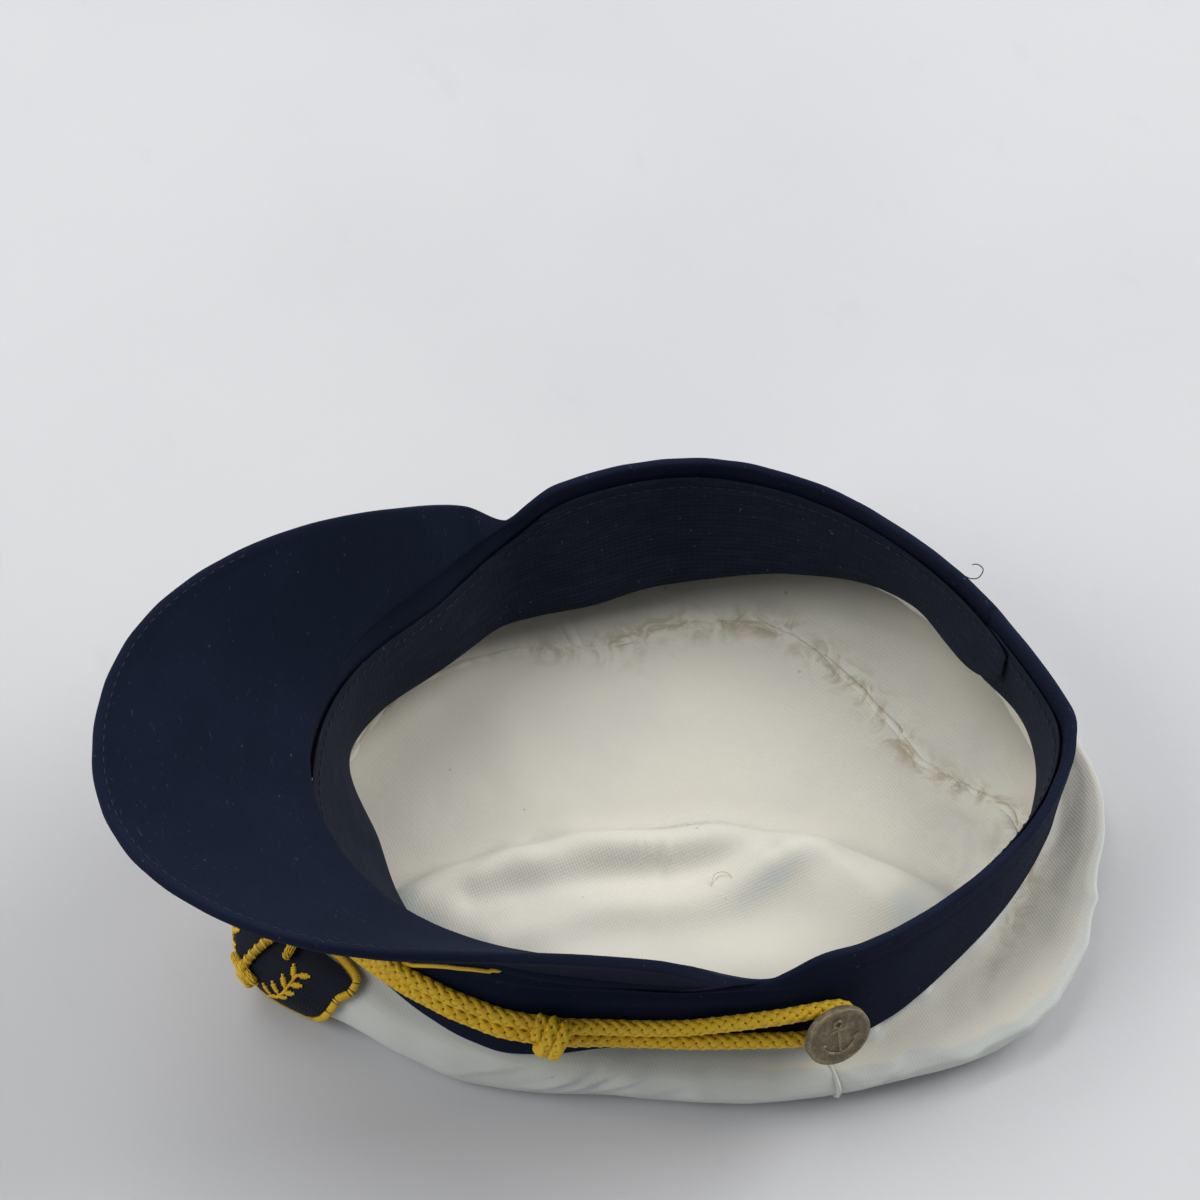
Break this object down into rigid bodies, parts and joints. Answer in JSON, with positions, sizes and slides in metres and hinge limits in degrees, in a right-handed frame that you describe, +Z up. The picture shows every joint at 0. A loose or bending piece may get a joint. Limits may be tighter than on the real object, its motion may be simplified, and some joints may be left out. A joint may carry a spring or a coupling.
{
  "type": "yachting cap",
  "caption": "Peaked yachting cap with a soft white crown, a navy band and peak, a gold chin cord and a badge, lying upside down.",
  "frame": {"origin": "middle of the cap's footprint, on the surface that it lies on", "axes": "+Z up out of the head opening, -Y to the peak at the front, +Y to the back"},
  "size_m": [0.2058, 0.2636, 0.094],
  "materials": {
    "white_cotton": "matt woven cotton, slightly yellowed inside, greyish outside",
    "navy_wool": "matt fine wool twill",
    "sweatband_cloth": "matt dark woven cloth",
    "gold_thread": "matt yellow-gold braided thread",
    "button_metal": "tarnished, worn on its raised edge",
    "badge_cloth": "dark felt ground"
  },
  "bodies": {
    "root": {"crown_tip": "white_cotton", "crown_front": "white_cotton", "crown_back": "white_cotton", "band": "navy_wool", "sweatband": "sweatband_cloth", "peak": "navy_wool", "peak_line": "gold_thread", "chin_cord": "gold_thread", "button_near": "button_metal", "button_far": "button_metal", "badge_ground": "badge_cloth", "badge_border": "gold_thread", "badge_anchor": "gold_thread"}
  },
  "joints": []
}
